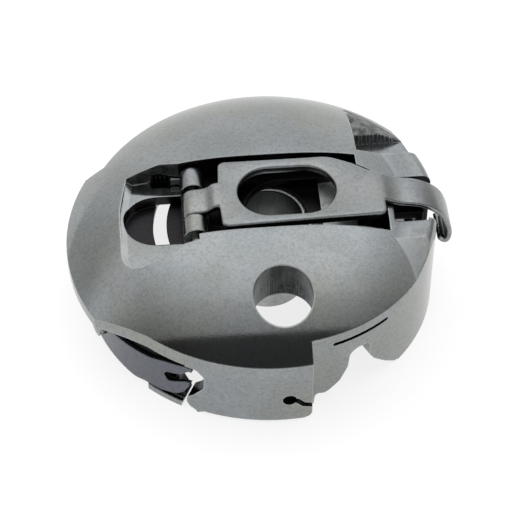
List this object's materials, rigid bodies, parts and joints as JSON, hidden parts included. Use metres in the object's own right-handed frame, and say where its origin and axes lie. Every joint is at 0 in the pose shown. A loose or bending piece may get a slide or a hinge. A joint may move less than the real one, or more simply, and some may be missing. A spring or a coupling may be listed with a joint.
{
  "type": "bobbin case",
  "caption": "Domed metal bobbin case with a hinged latch lever, a sliding latch, a thread tension leaf spring and an open cup for a bobbin.",
  "frame": {"origin": "on the axis of the centre tube, in the plane of the open rim", "axes": "+Z along the tube towards the domed face, +X from the latch hinge towards the latch finger"},
  "size_m": [0.0328, 0.0316, 0.0113],
  "materials": {
    "case_metal": "satin, hardened",
    "latch_metal": "satin",
    "spring_steel": "smooth",
    "blued_steel": "blued"
  },
  "bodies": {
    "case": {"case_body": "case_metal", "centre_tube": "case_metal", "brake_spring": "spring_steel", "latch_spring": "spring_steel", "tension_spring": "blued_steel", "fixing_screw": "spring_steel"},
    "slide": {"latch_slide": "latch_metal", "hinge_pin": "latch_metal"},
    "lever": {"latch_lever": "latch_metal"},
    "screw": {"tension_screw": "spring_steel"}
  },
  "joints": [
    {"name": "latch_slide_travel", "type": "slide", "parent": "case", "child": "slide", "axis": [-1, 0, 0], "range_m": [0, 0.0015], "stiffness_N_per_m": 300, "springref_m": -0.001, "deforming": ["latch_spring"]},
    {"name": "lever_hinge", "type": "hinge", "parent": "slide", "child": "lever", "pos_m": [-0.0062, 0, 0.00945], "axis": [0, -1, 0], "range_deg": [0, 85]},
    {"name": "tension_screw_turn", "type": "hinge", "parent": "case", "child": "screw", "pos_m": [-0.01396, -0.0055, 0.0021], "axis": [-0.9304, -0.3665, 0], "range_deg": [-180, 180]}
  ],
  "couplings": [
    {"joint": "lever_hinge", "follows": "latch_slide_travel", "rad_per_m": 988.9}
  ]
}
